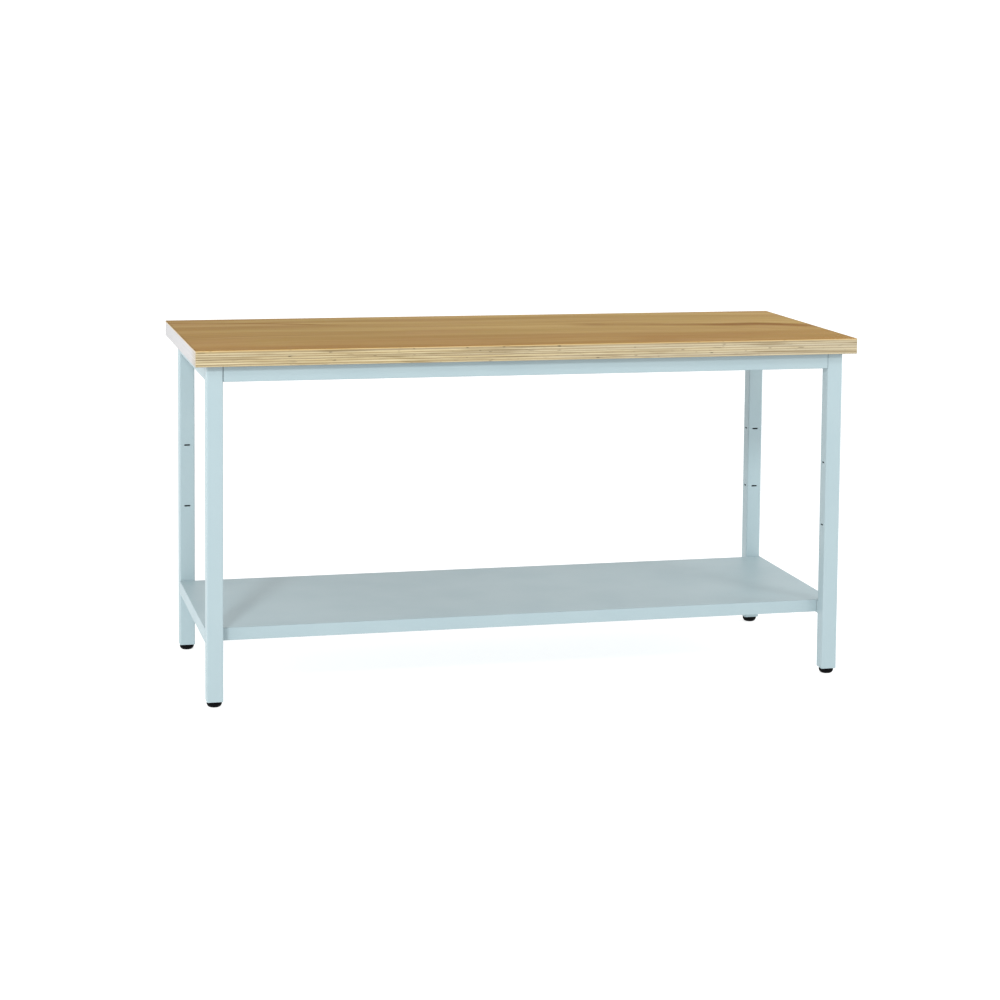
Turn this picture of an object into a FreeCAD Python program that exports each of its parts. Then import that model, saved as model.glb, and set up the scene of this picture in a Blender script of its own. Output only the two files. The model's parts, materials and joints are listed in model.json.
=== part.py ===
import FreeCAD, Part
import math
import os

# Assembly table: a plywood worktop on a steel frame with a folded steel shelf and levelling feet.
# Millimetres, +Z up. The origin is on the floor, under the middle of the worktop.
# X runs along the table, Y from its front to its rear.

Vector = FreeCAD.Vector

# ---- Driving dimensions -------------------------------------------------------------------

# Worktop
TOP_LENGTH = 1700.0
TOP_DEPTH = 700.0
TOP_THICK = 40.0
TOP_ARRIS = 1.5
TABLE_HEIGHT = 885.0
END_OVERHANG = 30.0
SIDE_OVERHANG = 25.0

# Square steel tube of the legs and top rails. The lower rails are of the same width and wall.
TUBE = 40.0
LOWER_RAIL_HEIGHT = 35.0
WALL = 2.0
TUBE_ROUND = 3.0
FOOT_HEIGHT = 15.0

# Slots in the two inward walls of each leg, for hooked or bolted accessories
SLOT_LENGTH = 16.0
SLOT_WIDTH = 4.0
SLOT_LOW = 378.0
SLOT_PITCH = 164.0

# Folded apron between the legs, open to the inside of the table
APRON_HEIGHT = 40.0
APRON_WIDTH = 38.0
APRON_SHEET = 2.0
APRON_BEND = 3.0
END_PLATE = 4.0
END_PLATE_ROUND = 1.5

# Bolts and rivet nuts that hold each apron between two legs
BOLT_RADIUS = 3.0
BOLT_FIT = 0.05
BOLT_HOLE_PLAY = 0.3
BOLT_HEX = 10.0
BOLT_HEAD = 5.0
BOLT_FLANGE_RADIUS = 7.0
BOLT_FLANGE = 1.2
APRON_BOLT_LENGTH = 16.0
APRON_BOLT_PITCH = 20.0
RIVET_RADIUS = 4.5
RIVET_FIT = 0.05
RIVET_FLANGE_RADIUS = 6.5
RIVET_FLANGE = 1.0
RIVET_BULGE_RADIUS = 5.8
RIVET_BULGE = 3.0
RIVET_LENGTH = 14.0

# Wood screws that hold the worktop down
SCREW_RADIUS = 2.5
SCREW_FIT = 0.05
SCREW_HOLE_PLAY = 0.4
SCREW_LENGTH = 30.0
SCREW_POINT = 6.0
SCREW_HEAD_RADIUS = 5.0
SCREW_HEAD = 3.0
SCREW_HEAD_BEVEL = 1.5
SCREW_TIP_ROOM = 1.0
SCREWDRIVER_HOLE_RADIUS = 6.5
APRON_SCREW_STEP = 400.0
APRON_SCREWS = 4
RAIL_SCREW_STEP = 280.0

# Folded shelf on the two lower rails
SHELF_TOP = 190.0
SHELF_SHEET = 1.5
SHELF_LIP = 32.0
SHELF_HEM = 12.0
SHELF_BEND = 2.0
SHELF_SIDE_GAP = 1.0
SHELF_END_GAP = 2.0
SHELF_CORNER = 2.0

# Hat-section stiffeners welded under the shelf
HAT_WIDTH = 50.0
HAT_DEPTH = 20.0
HAT_FLANGE = 14.0
HAT_STEP = 240.0

# Bolts that hold the shelf down, and the weld nuts under it that they reach
SHELF_BOLT_STEP = 400.0
SHELF_BOLT_TIP_GAP = 0.5
WELD_NUT_HEX = 10.0
WELD_NUT = 5.0
WELD_NUT_ROOM = 1.5

# Levelling foot: a plastic insert in the tube holds a nut, and a stud in it turns in a round pad
PAD_RADIUS = 19.0
PAD_LOWER_RADIUS = 15.0
PAD_BAND = 7.0
PAD_BOWL_ROUND = 9.0
PAD_RIM_ROUND = 0.8
STUD_RADIUS = 5.0
STUD_FIT = 0.08
STUD_BORE_PLAY = 0.3
STUD_CHAMFER = 1.0
STUD_PAST_NUT = 6.0
COLLAR_HEX = 17.0
COLLAR = 5.0
COLLAR_ROOM = 1.0
NECK_RADIUS = 4.0
NECK_FIT = 0.1
NECK = 5.0
BUTTON_RADIUS = 5.5
BUTTON = 3.0
BUTTON_ROOM = 0.3
FOOT_TRAVEL = 15.0
INSERT_HEIGHT = 30.0
INSERT_CORNER = 2.0
INSERT_RIB = 3.0
INSERT_RIB_DEPTH = 1.5
INSERT_RIBS = 4
FOOT_NUT_HEX = 16.0
FOOT_NUT = 8.0
FOOT_NUT_ROOM = 0.1

# How far a cutter runs past the faces that it opens
PAST = 1.0

# ---- Places that follow from them ---------------------------------------------------------

TOP_UNDERSIDE = TABLE_HEIGHT - TOP_THICK
LEG_LENGTH = TOP_UNDERSIDE - FOOT_HEIGHT
FRAME_X = TOP_LENGTH / 2 - END_OVERHANG
FRAME_Y = TOP_DEPTH / 2 - SIDE_OVERHANG
LEG_X = FRAME_X - TUBE / 2
LEG_Y = FRAME_Y - TUBE / 2
INNER_X = FRAME_X - TUBE
INNER_Y = FRAME_Y - TUBE
TUBE_BORE = TUBE - 2 * WALL
APRON_BOTTOM = TOP_UNDERSIDE - APRON_HEIGHT
APRON_END = INNER_X - RIVET_FLANGE
APRON_MIDDLE_Z = TOP_UNDERSIDE - APRON_HEIGHT / 2
APRON_BOLT_Y = FRAME_Y - APRON_SHEET - (APRON_WIDTH - APRON_SHEET) / 2
SHELF_UNDERSIDE = SHELF_TOP - SHELF_SHEET
SHELF_Y = INNER_Y - SHELF_SIDE_GAP
LOWER_RAIL_BOTTOM = SHELF_UNDERSIDE - LOWER_RAIL_HEIGHT
LIP_X = INNER_X - SHELF_END_GAP
INSERT_TOP = FOOT_HEIGHT + INSERT_HEIGHT
COLLAR_TOP = FOOT_HEIGHT + COLLAR

SIDES = {"left": -1, "right": 1}
ROWS = {"front": -1, "rear": 1}
CORNERS = {row + "_" + side: (SIDES[side], ROWS[row]) for row in ROWS for side in SIDES}


# ---- Shapes -------------------------------------------------------------------------------

def spot(axis, along, u, v):
    """A point: its place along an axis, then its two other coordinates in x, y, z order."""
    if axis == "x":
        return Vector(along, u, v)
    if axis == "y":
        return Vector(u, along, v)
    return Vector(u, v, along)


def outline(axis, along, corners):
    """A closed wire through (u, v, radius) corners, each one rounded to its radius."""
    places = [spot(axis, along, u, v) for u, v, radius in corners]
    radii = [radius for u, v, radius in corners]
    count = len(places)
    bends = []
    for i, corner in enumerate(places):
        back = (places[i - 1] - corner).normalize()
        ahead = (places[(i + 1) % count] - corner).normalize()
        half = back.getAngle(ahead) / 2
        inward = (back + ahead).normalize()
        reach = radii[i] / math.tan(half)
        middle = corner + inward * (radii[i] / math.sin(half) - radii[i])
        bends.append((corner + back * reach, middle, corner + ahead * reach))
    edges = []
    for i, (enter, middle, leave) in enumerate(bends):
        if radii[i] > 0:
            edges.append(Part.Arc(enter, middle, leave).toShape())
        following = bends[(i + 1) % count][0]
        if leave.distanceToPoint(following) > Part.Precision.confusion():
            edges.append(Part.LineSegment(leave, following).toShape())
    return Part.Wire(edges)


def prism(axis, start, length, corners):
    """A bar of one outline, from start along the axis."""
    face = Part.Face(outline(axis, start, corners))
    return face.extrude(spot(axis, length, 0, 0))


def rectangle(u, v, width, height, radius=0.0):
    """Corners of a rectangle about (u, v)."""
    a, b = width / 2, height / 2
    return [(u - a, v - b, radius), (u + a, v - b, radius), (u + a, v + b, radius), (u - a, v + b, radius)]


def bar(axis, start, length, u, v, width, height, radius=0.0):
    """A solid bar of rectangular section about (u, v)."""
    return prism(axis, start, length, rectangle(u, v, width, height, radius))


def hex_corner(across):
    """How far a hexagon's corners lie from its middle, from its width across flats."""
    return across / 2 / math.cos(math.pi / 6)


def hexagon(axis, start, length, u, v, across):
    """A six-sided bar, stated by its width across flats."""
    corner = hex_corner(across)
    angles = [math.radians(60 * i + 30) for i in range(6)]
    corners = [(u + corner * math.cos(a), v + corner * math.sin(a), 0) for a in angles]
    return prism(axis, start, length, corners)


def rod(axis, start, length, u, v, radius):
    """A round bar about (u, v)."""
    return Part.makeCylinder(radius, length, spot(axis, start, u, v), spot(axis, 1, 0, 0))


def turned(corners):
    """A solid of revolution about Z from (radius, height, rounding) corners."""
    return Part.Face(outline("y", 0, corners)).revolve(Vector(), Vector(0, 0, 1), 360)


def moved(shape, place, direction=Vector(0, 0, 1)):
    """A copy of a shape that was made along +Z at the origin, set at a place along a direction."""
    copy = shape.copy()
    copy.Placement = FreeCAD.Placement(place, FreeCAD.Rotation(Vector(0, 0, 1), direction))
    return copy


def box_tube(axis, start, length, u, v, height=TUBE):
    """A length of tube of the legs' width and wall, open at both ends."""
    bore = height - 2 * WALL
    outer = bar(axis, start, length, u, v, TUBE, height, TUBE_ROUND)
    inner = bar(axis, start - PAST, length + 2 * PAST, u, v, TUBE_BORE, bore, TUBE_ROUND - WALL)
    return outer.cut(inner)


def spread(count, step):
    """Places in a row, centred on zero."""
    return [(i - (count - 1) / 2) * step for i in range(count)]


# ---- Worktop and what holds it ------------------------------------------------------------

def screw_places():
    """Where the wood screws stand: along both aprons, and through both top rails."""
    along = [(x, sy * (FRAME_Y - APRON_WIDTH / 2)) for sy in ROWS.values()
             for x in spread(APRON_SCREWS, APRON_SCREW_STEP)]
    across = [(sx * LEG_X, y) for sx in SIDES.values() for y in spread(2, RAIL_SCREW_STEP)]
    return along, across


def worktop():
    top = bar("z", TOP_UNDERSIDE, TOP_THICK, 0, 0, TOP_LENGTH, TOP_DEPTH)
    top = top.makeFillet(TOP_ARRIS, top.Edges)
    along, across = screw_places()
    for places, sheet in ((along, APRON_SHEET), (across, WALL)):
        depth = SCREW_LENGTH - sheet + SCREW_TIP_ROOM
        for x, y in places:
            pilot = rod("z", TOP_UNDERSIDE - PAST, depth + PAST, x, y, SCREW_RADIUS + SCREW_FIT)
            top = top.cut(pilot)
    return top


def wood_screw():
    """A pan-head screw that points up, with the underside of its head at the origin."""
    neck = SCREW_LENGTH - SCREW_POINT
    return turned([
        (0, -SCREW_HEAD, 0),
        (SCREW_HEAD_RADIUS - SCREW_HEAD_BEVEL, -SCREW_HEAD, 0),
        (SCREW_HEAD_RADIUS, SCREW_HEAD_BEVEL - SCREW_HEAD, 0),
        (SCREW_HEAD_RADIUS, 0, 0),
        (SCREW_RADIUS, 0, 0),
        (SCREW_RADIUS, neck, 0),
        (0, SCREW_LENGTH, 0),
    ])


def worktop_screws():
    screw = wood_screw()
    along, across = screw_places()
    screws = [moved(screw, Vector(x, y, TOP_UNDERSIDE - APRON_SHEET)) for x, y in along]
    screws += [moved(screw, Vector(x, y, TOP_UNDERSIDE - WALL)) for x, y in across]
    return Part.Compound(screws)


# ---- Legs and welded rails ----------------------------------------------------------------

def apron_bolt_heights():
    return [APRON_MIDDLE_Z + z for z in spread(2, APRON_BOLT_PITCH)]


def leg(sx, sy):
    """One leg, slotted in its two inward walls and drilled for the rivet nuts of its apron."""
    x, y = sx * LEG_X, sy * LEG_Y
    tube = box_tube("z", FOOT_HEIGHT, LEG_LENGTH, x, y)
    reach = WALL + PAST
    wall_x = sx * INNER_X - PAST if sx > 0 else sx * INNER_X - WALL
    wall_y = sy * INNER_Y - PAST if sy > 0 else sy * INNER_Y - WALL
    for height in (SLOT_LOW, SLOT_LOW + SLOT_PITCH):
        z = FOOT_HEIGHT + height
        tube = tube.cut(bar("x", wall_x, reach, y, z, SLOT_LENGTH, SLOT_WIDTH, SLOT_WIDTH / 2))
        tube = tube.cut(bar("y", wall_y, reach, x, z, SLOT_LENGTH, SLOT_WIDTH, SLOT_WIDTH / 2))
    for z in apron_bolt_heights():
        tube = tube.cut(rod("x", wall_x, reach, sy * APRON_BOLT_Y, z, RIVET_RADIUS + RIVET_FIT))
    return tube


def top_rail(sx):
    """The end rail under the worktop. Screws go up through it, by way of wider holes below."""
    z = TOP_UNDERSIDE - TUBE / 2
    rail = box_tube("y", -INNER_Y, 2 * INNER_Y, sx * LEG_X, z)
    for y in spread(2, RAIL_SCREW_STEP):
        x = sx * LEG_X
        rail = rail.cut(rod("z", z, TUBE / 2 + PAST, x, y, SCREW_RADIUS + SCREW_HOLE_PLAY))
        rail = rail.cut(rod("z", z - TUBE / 2 - PAST, TUBE / 2, x, y, SCREWDRIVER_HOLE_RADIUS))
    return rail


def lower_rail(sx):
    """The end rail under the shelf, with room in its upper wall for the shelf's weld nuts."""
    half = LOWER_RAIL_HEIGHT / 2
    z = LOWER_RAIL_BOTTOM + half
    room = hex_corner(WELD_NUT_HEX) + WELD_NUT_ROOM
    rail = box_tube("y", -INNER_Y, 2 * INNER_Y, sx * LEG_X, z, LOWER_RAIL_HEIGHT)
    for y in spread(2, SHELF_BOLT_STEP):
        x = sx * LEG_X
        rail = rail.cut(rod("z", z, half + PAST, x, y, room))
        rail = rail.cut(rod("z", z - half - PAST, half, x, y, BOLT_RADIUS + BOLT_HOLE_PLAY))
    return rail


# ---- Aprons -------------------------------------------------------------------------------

def apron(sy):
    """A folded channel: its web is flush with the legs' outer faces, its open side is inside."""
    outside, inside = sy * FRAME_Y, sy * (FRAME_Y - APRON_WIDTH)
    web = sy * (FRAME_Y - APRON_SHEET)
    low, high = APRON_BOTTOM, TOP_UNDERSIDE
    inner_bend = APRON_BEND - APRON_SHEET
    channel = prism("x", -APRON_END, 2 * APRON_END, [
        (inside, low, 0),
        (outside, low, APRON_BEND),
        (outside, high, APRON_BEND),
        (inside, high, 0),
        (inside, high - APRON_SHEET, 0),
        (web, high - APRON_SHEET, inner_bend),
        (web, low + APRON_SHEET, inner_bend),
        (inside, low + APRON_SHEET, 0),
    ])
    y = sy * (FRAME_Y - APRON_WIDTH / 2)
    for x in spread(APRON_SCREWS, APRON_SCREW_STEP):
        start = high - APRON_SHEET - PAST
        hole = rod("z", start, APRON_SHEET + 2 * PAST, x, y, SCREW_RADIUS + SCREW_HOLE_PLAY)
        channel = channel.cut(hole)
    return channel


def apron_end_plate(sx, sy):
    """The plate welded into one end of an apron, which two bolts pull against a leg."""
    start = -APRON_END if sx < 0 else APRON_END - END_PLATE
    y = sy * APRON_BOLT_Y
    width, height = APRON_WIDTH - APRON_SHEET, APRON_HEIGHT - 2 * APRON_SHEET
    plate = bar("x", start, END_PLATE, y, APRON_MIDDLE_Z, width, height, END_PLATE_ROUND)
    for z in apron_bolt_heights():
        plate = plate.cut(rod("x", start - PAST, END_PLATE + 2 * PAST, y, z, BOLT_RADIUS + BOLT_HOLE_PLAY))
    return plate


def hex_bolt(length):
    """A flanged hexagon bolt that points up, with the underside of its flange at the origin."""
    shank = rod("z", 0, length, 0, 0, BOLT_RADIUS)
    flange = rod("z", -BOLT_FLANGE, BOLT_FLANGE, 0, 0, BOLT_FLANGE_RADIUS)
    head = hexagon("z", -BOLT_HEAD, BOLT_HEAD - BOLT_FLANGE, 0, 0, BOLT_HEX)
    return shank.fuse([flange, head]).removeSplitter()


def rivet_nut():
    """A set rivet nut that points up: its flange is below the origin, its bulge grips the wall."""
    outside = turned([
        (0, -RIVET_FLANGE, 0),
        (RIVET_FLANGE_RADIUS, -RIVET_FLANGE, 0),
        (RIVET_FLANGE_RADIUS, 0, 0),
        (RIVET_RADIUS, 0, 0),
        (RIVET_RADIUS, WALL, 0),
        (RIVET_BULGE_RADIUS, WALL, 0),
        (RIVET_RADIUS, WALL + RIVET_BULGE, 0),
        (RIVET_RADIUS, RIVET_LENGTH, 0),
        (0, RIVET_LENGTH, 0),
    ])
    bore = rod("z", -RIVET_FLANGE - PAST, RIVET_LENGTH + RIVET_FLANGE + 2 * PAST, 0, 0,
               BOLT_RADIUS + BOLT_FIT)
    return outside.cut(bore)


def at_apron_ends(shape, x):
    """A copy of a fastener at each bolt place of every apron end, pointing into its leg."""
    places = [(sx, sy * APRON_BOLT_Y, z) for sx, sy in CORNERS.values() for z in apron_bolt_heights()]
    return Part.Compound([moved(shape, Vector(sx * x, y, z), Vector(sx, 0, 0)) for sx, y, z in places])


# ---- Shelf --------------------------------------------------------------------------------

def shelf():
    """One folded sheet. It lies over both lower rails, and its lips hang down between them."""
    low, under = SHELF_TOP - SHELF_LIP, SHELF_UNDERSIDE
    y, sheet, hem = SHELF_Y, SHELF_SHEET, SHELF_Y - SHELF_HEM
    inner_bend = SHELF_BEND - sheet
    near = [(hem, low, 0), (y, low, SHELF_BEND), (y, SHELF_TOP, SHELF_BEND)]
    back = [(y - sheet, under, inner_bend), (y - sheet, low + sheet, inner_bend), (hem, low + sheet, 0)]
    far = [(-u, v, radius) for u, v, radius in reversed(near)]
    home = [(-u, v, radius) for u, v, radius in reversed(back)]
    tray = prism("x", -FRAME_X, 2 * FRAME_X, near + far + home + back)
    deck = bar("z", under, sheet + PAST, 0, 0, 2 * FRAME_X, 2 * y, SHELF_CORNER)
    lips = bar("z", low - PAST, under - low + PAST, 0, 0, 2 * LIP_X, 2 * y)
    return tray.common(deck.fuse(lips)).removeSplitter()


def shelf_stiffener(sy):
    """A hat section, welded by its flanges to the underside of the shelf."""
    y, top, low = sy * HAT_STEP / 2, SHELF_UNDERSIDE, SHELF_UNDERSIDE - HAT_DEPTH
    half, sheet = HAT_WIDTH / 2, SHELF_SHEET
    inner_bend = SHELF_BEND - sheet
    right = [
        (half - sheet, low + sheet, inner_bend),
        (half - sheet, top, SHELF_BEND),
        (half + HAT_FLANGE, top, 0),
        (half + HAT_FLANGE, top - sheet, 0),
        (half, top - sheet, inner_bend),
        (half, low, SHELF_BEND),
    ]
    left = [(-u, v, radius) for u, v, radius in reversed(right)]
    section = [(y + u, v, radius) for u, v, radius in right + left]
    return prism("x", -LIP_X, 2 * LIP_X, section)


def shelf_fastener_places():
    return [(sx * LEG_X, y) for sx in SIDES.values() for y in spread(2, SHELF_BOLT_STEP)]


def shelf_bolts():
    bolt = hex_bolt(LOWER_RAIL_HEIGHT - SHELF_BOLT_TIP_GAP)
    places = [Vector(x, y, LOWER_RAIL_BOTTOM) for x, y in shelf_fastener_places()]
    return Part.Compound([moved(bolt, place) for place in places])


def shelf_weld_nuts():
    start = SHELF_UNDERSIDE - WELD_NUT
    nuts = []
    for x, y in shelf_fastener_places():
        blank = hexagon("z", start, WELD_NUT, x, y, WELD_NUT_HEX)
        nuts.append(blank.cut(rod("z", start - PAST, WELD_NUT + 2 * PAST, x, y, BOLT_RADIUS + BOLT_FIT)))
    return Part.Compound(nuts)


# ---- Levelling feet -----------------------------------------------------------------------

def foot_insert():
    """The ribbed plastic insert, bored for the stud, with a pocket above for the nut and one
    below that takes in the stud's collar."""
    core = TUBE_BORE - 2 * INSERT_RIB_DEPTH
    body = bar("z", FOOT_HEIGHT, INSERT_HEIGHT, 0, 0, core, core, INSERT_CORNER)
    gap = (INSERT_HEIGHT - INSERT_RIB) / (INSERT_RIBS - 1)
    ribs = [bar("z", FOOT_HEIGHT + i * gap, INSERT_RIB, 0, 0, TUBE_BORE, TUBE_BORE, INSERT_CORNER)
            for i in range(INSERT_RIBS)]
    body = body.fuse(ribs).removeSplitter()
    bore = rod("z", FOOT_HEIGHT - PAST, INSERT_HEIGHT + 2 * PAST, 0, 0, STUD_RADIUS + STUD_BORE_PLAY)
    collar_room = hex_corner(COLLAR_HEX) + COLLAR_ROOM
    below = rod("z", FOOT_HEIGHT - PAST, COLLAR + COLLAR_ROOM + PAST, 0, 0, collar_room)
    above = hexagon("z", INSERT_TOP - FOOT_NUT, FOOT_NUT + PAST, 0, 0, FOOT_NUT_HEX + 2 * FOOT_NUT_ROOM)
    return body.cut(bore).cut(below).cut(above)


def foot_nut():
    start = INSERT_TOP - FOOT_NUT
    blank = hexagon("z", start, FOOT_NUT, 0, 0, FOOT_NUT_HEX)
    return blank.cut(rod("z", start - PAST, FOOT_NUT + 2 * PAST, 0, 0, STUD_RADIUS + STUD_FIT))


def foot_pad():
    """The round pad. Its stepped bore holds the stud's button and lets it turn."""
    top = FOOT_HEIGHT
    bowl = turned([
        (0, 0, 0),
        (PAD_LOWER_RADIUS, 0, PAD_BOWL_ROUND),
        (PAD_RADIUS, top - PAD_BAND, PAD_BOWL_ROUND),
        (PAD_RADIUS, top, PAD_RIM_ROUND),
        (0, top, 0),
    ])
    neck = rod("z", top - NECK, NECK + PAST, 0, 0, NECK_RADIUS + NECK_FIT)
    seat = top - NECK - BUTTON - 2 * BUTTON_ROOM
    hollow = rod("z", seat, BUTTON + 2 * BUTTON_ROOM, 0, 0, BUTTON_RADIUS + BUTTON_ROOM)
    return bowl.cut(neck).cut(hollow)


def foot_stud():
    """The stud: a button held in the pad, a neck, a hexagon collar for a spanner, and a rod that
    still fills the nut when the foot is screwed right out."""
    top = INSERT_TOP + FOOT_TRAVEL + STUD_PAST_NUT
    button_top = FOOT_HEIGHT - NECK - BUTTON_ROOM
    shaft = turned([
        (0, button_top - BUTTON, 0),
        (BUTTON_RADIUS, button_top - BUTTON, 0),
        (BUTTON_RADIUS, button_top, 0),
        (NECK_RADIUS, button_top, 0),
        (NECK_RADIUS, COLLAR_TOP, 0),
        (STUD_RADIUS, COLLAR_TOP, 0),
        (STUD_RADIUS, top - STUD_CHAMFER, 0),
        (STUD_RADIUS - STUD_CHAMFER, top, 0),
        (0, top, 0),
    ])
    return shaft.fuse(hexagon("z", FOOT_HEIGHT, COLLAR, 0, 0, COLLAR_HEX)).removeSplitter()


# ---- The whole table ----------------------------------------------------------------------

def build():
    nodes = {
        "worktop": worktop(),
        "worktop_screws": worktop_screws(),
        "shelf": shelf(),
        "shelf_bolts": shelf_bolts(),
        "shelf_weld_nuts": shelf_weld_nuts(),
        "apron_bolts": at_apron_ends(hex_bolt(APRON_BOLT_LENGTH), APRON_END - END_PLATE),
        "apron_rivet_nuts": at_apron_ends(rivet_nut(), INNER_X),
    }
    for side, sx in SIDES.items():
        nodes[side + "_top_rail"] = top_rail(sx)
        nodes[side + "_lower_rail"] = lower_rail(sx)
    for row, sy in ROWS.items():
        nodes[row + "_apron"] = apron(sy)
        nodes[row + "_shelf_stiffener"] = shelf_stiffener(sy)
    insert, nut, pad, stud = foot_insert(), foot_nut(), foot_pad(), foot_stud()
    for corner, (sx, sy) in CORNERS.items():
        foot = Vector(sx * LEG_X, sy * LEG_Y, 0)
        nodes[corner + "_leg"] = leg(sx, sy)
        nodes[corner + "_apron_end_plate"] = apron_end_plate(sx, sy)
        nodes[corner + "_foot_insert"] = moved(insert, foot)
        nodes[corner + "_foot_nut"] = moved(nut, foot)
        nodes[corner + "_foot_pad"] = moved(pad, foot)
        nodes[corner + "_foot_stud"] = moved(stud, foot)
    return nodes


os.makedirs("parts", exist_ok=True)
for name, shape in build().items():
    shape.exportStep("parts/" + name + ".step")
    state = "valid" if shape.isValid() else "INVALID"
    print(name, len(shape.Solids), "solids", round(shape.Volume), "mm3", state)
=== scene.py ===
# %% [markdown]
# # An assembly table in plywood and powder-coated steel
#
# A workshop table is a simple thing to look at: a thick board, four square legs, a folded shelf. So
# its finish has to carry it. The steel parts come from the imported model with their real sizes. This
# lesson gives each of them a procedural material, adds what a drawing leaves out, such as weld beads
# and threads, and sets up plain studio light.

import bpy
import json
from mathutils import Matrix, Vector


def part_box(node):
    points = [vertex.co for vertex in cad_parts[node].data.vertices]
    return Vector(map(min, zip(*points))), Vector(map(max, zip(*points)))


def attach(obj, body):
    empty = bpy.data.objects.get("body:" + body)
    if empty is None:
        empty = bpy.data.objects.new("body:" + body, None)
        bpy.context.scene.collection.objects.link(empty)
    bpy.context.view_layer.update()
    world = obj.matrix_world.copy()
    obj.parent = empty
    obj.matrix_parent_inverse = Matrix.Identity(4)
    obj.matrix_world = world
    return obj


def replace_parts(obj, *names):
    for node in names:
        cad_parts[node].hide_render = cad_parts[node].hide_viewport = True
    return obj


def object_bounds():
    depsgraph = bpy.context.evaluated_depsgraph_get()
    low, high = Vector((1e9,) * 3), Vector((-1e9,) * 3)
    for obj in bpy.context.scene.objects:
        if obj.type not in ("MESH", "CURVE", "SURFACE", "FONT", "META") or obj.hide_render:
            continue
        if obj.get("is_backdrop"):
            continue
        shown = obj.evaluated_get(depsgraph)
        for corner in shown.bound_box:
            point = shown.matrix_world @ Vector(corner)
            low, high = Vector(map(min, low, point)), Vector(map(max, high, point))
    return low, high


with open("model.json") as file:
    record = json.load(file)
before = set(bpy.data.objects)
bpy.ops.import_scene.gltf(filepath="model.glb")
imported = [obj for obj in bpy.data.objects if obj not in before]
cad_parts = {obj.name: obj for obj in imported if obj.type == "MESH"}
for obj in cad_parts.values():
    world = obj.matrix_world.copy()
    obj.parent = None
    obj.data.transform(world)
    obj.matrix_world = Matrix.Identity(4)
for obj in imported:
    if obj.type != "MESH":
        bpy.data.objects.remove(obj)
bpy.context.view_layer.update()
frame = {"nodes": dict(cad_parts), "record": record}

# %% [markdown]
# All lengths below are in metres, as Blender has them, with millimetres written as `35 * MM`. Places
# and outer sizes that the drawing already has are read from the nodes' boxes. Only what a box can't
# show, such as the width of a hexagon or the radius of a thread, is written down again by name.

# %% Units and measured places
import json
import math

import bpy
from mathutils import Matrix, Vector

MM = 0.001
ROWS = {"front": -1, "rear": 1}
SIDES = {"left": -1, "right": 1}
CORNERS = [row + "_" + side for row in ROWS for side in SIDES]


def middle(node):
    """The centre of a node's box."""
    low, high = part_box(node)
    return (low + high) / 2


board_low, board_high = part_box("worktop")
leg_low, leg_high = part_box("front_left_leg")
TUBE = leg_high.x - leg_low.x
BOARD = board_high.z - board_low.z
print("tube", round(TUBE / MM, 1), "mm, board", round(BOARD / MM, 1), "mm")

# %% [markdown]
# ## Writing materials as arithmetic
#
# A material is a graph of nodes, and a graph is tiring to read as code. `Signal` wraps one output
# socket and lets Python's operators add the Math nodes, so that `1 - mask * 0.4` is a line that can
# be read. Anything that isn't arithmetic goes through `Finish.node`, which takes the node's type,
# its settings and its inputs.

# %% Signal
class Signal:
    """One value on its way through a graph, with the arithmetic used here."""

    def __init__(self, graph, socket):
        self.graph = graph
        self.socket = socket

    def maths(self, operation, *values):
        inputs = dict(enumerate(values))
        return self.graph.node("ShaderNodeMath", {"operation": operation}, inputs)

    def also(self, output):
        """Another output of the node that this value comes from."""
        return Signal(self.graph, self.socket.node.outputs[output])

    def __add__(self, other):
        return self.maths("ADD", self, other)

    def __sub__(self, other):
        return self.maths("SUBTRACT", self, other)

    def __rsub__(self, other):
        return self.maths("SUBTRACT", other, self)

    def __mul__(self, other):
        return self.maths("MULTIPLY", self, other)

    def __truediv__(self, other):
        return self.maths("DIVIDE", self, other)

    def __mod__(self, other):
        return self.maths("FLOORED_MODULO", self, other)

    def __lt__(self, other):
        return self.maths("LESS_THAN", self, other)

    def __abs__(self):
        return self.maths("ABSOLUTE", self)

    __radd__ = __add__
    __rmul__ = __mul__

    def floor(self):
        return self.maths("FLOOR", self)

    def ramp(self, low, high):
        """0 at low and below, 1 at high and above, smooth between."""
        settings = {"interpolation_type": "SMOOTHSTEP", "clamp": True}
        inputs = {"Value": self, "From Min": low, "From Max": high}
        return self.graph.node("ShaderNodeMapRange", settings, inputs)

    def curve(self, stops):
        """A smooth curve through a few (place, height) stops, all between 0 and 1."""
        return self.graph.node("ShaderNodeValToRGB", {"stops": stops}, {0: self})


# %% Graph and Finish
def set_stops(ramp, stops):
    """Gives a colour ramp grey stops on a smooth curve."""
    ramp.interpolation = "B_SPLINE"
    while len(ramp.elements) < len(stops):
        ramp.elements.new(1.0)
    for element, (place, height) in zip(ramp.elements, stops):
        element.position = place
        element.color = (height, height, height, 1.0)


class Graph:
    """A node tree, with the one call that adds to it."""

    def __init__(self, tree):
        self.tree = tree
        self.tree.nodes.clear()

    def node(self, kind, settings, inputs, output=0):
        """Adds a node: first its settings, then the value or link of each input."""
        node = self.tree.nodes.new(kind)
        for key, value in settings.items():
            if key == "stops":
                set_stops(node.color_ramp, value)
            else:
                setattr(node, key, value)
        for key, value in inputs.items():
            if isinstance(value, Signal):
                self.tree.links.new(value.socket, node.inputs[key])
            else:
                node.inputs[key].default_value = value
        return Signal(self, node.outputs[output])


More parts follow.
